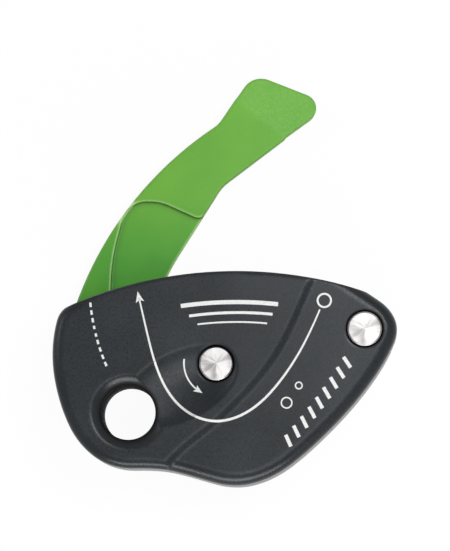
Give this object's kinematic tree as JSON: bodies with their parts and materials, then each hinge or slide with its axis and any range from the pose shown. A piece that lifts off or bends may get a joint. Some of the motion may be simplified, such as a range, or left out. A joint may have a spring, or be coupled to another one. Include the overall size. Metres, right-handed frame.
{
  "type": "assisted braking belay device",
  "caption": "Assisted braking belay device: two side plates round a rope cam, a swinging front cover locked by a push button, a release lever at the back and a connector eye.",
  "frame": {"origin": "on the axis of the connector eye, in the plane that the back rests on", "axes": "+Z out of the front cover along the eye's axis, +X towards the cover's swing pivot, +Y towards the lever"},
  "size_m": [0.1241, 0.1492, 0.0328],
  "materials": {
    "anodised_plate": "satin hard anodised, dark slate",
    "painted_lever": "satin green coating",
    "bronze_bush": "plain sintered bronze",
    "spring_steel": "drawn wire",
    "forged_steel": "hardened, satin",
    "sheet_steel": "stainless sheet",
    "turned_steel": "turned stainless steel",
    "print_white": "pad printed ink"
  },
  "bodies": {
    "chassis": {"axle_screw": "turned_steel", "block_screw_1": "turned_steel", "block_screw_2": "turned_steel", "brake_block": "forged_steel", "cam_circlip": "turned_steel", "cam_washer": "sheet_steel", "cover_pivot": "turned_steel", "cover_stop": "turned_steel", "lever_nut": "turned_steel", "lever_pin": "turned_steel", "lever_washer": "sheet_steel", "main_axle": "turned_steel", "pivot_nut": "turned_steel", "pivot_washer": "sheet_steel", "rear_plate": "anodised_plate"},
    "cover": {"cover_bush": "bronze_bush", "cover_liner": "sheet_steel", "front_cover": "anodised_plate", "liner_rivet_1": "turned_steel", "liner_rivet_2": "turned_steel", "liner_rivet_3": "turned_steel"},
    "button": {"button_ring": "turned_steel", "button_spring": "spring_steel", "lock_button": "turned_steel"},
    "cam": {"arm_rivet_1": "turned_steel", "arm_rivet_2": "turned_steel", "cam": "forged_steel", "cam_arm": "forged_steel", "cam_bush": "bronze_bush"},
    "lever": {"drive_pin": "turned_steel", "lever": "painted_lever", "lever_bush": "bronze_bush"}
  },
  "joints": [
    {"name": "cover_swing", "type": "hinge", "parent": "chassis", "child": "cover", "pos_m": [0.0851, 0.02999, 0.0244], "axis": [0, 0, 1], "range_deg": [0, 95]},
    {"name": "button_press", "type": "slide", "parent": "cover", "child": "button", "axis": [0, 0, 1], "range_m": [-0.002, 0], "stiffness_N_per_m": 900, "springref_m": 0.002, "deforming": ["button_spring"]},
    {"name": "lever_swing", "type": "hinge", "parent": "chassis", "child": "lever", "pos_m": [-0.01312, 0.02916, 0.0088], "axis": [0, 0, 1], "range_deg": [-48, 25]},
    {"name": "cam_turn", "type": "hinge", "parent": "chassis", "child": "cam", "pos_m": [0.03168, 0.0176, 0.013], "axis": [0, 0, 1], "range_deg": [-9, 17]}
  ],
  "couplings": [
    {"joint": "cam_turn", "follows": "lever_swing", "ratio": -0.34}
  ]
}
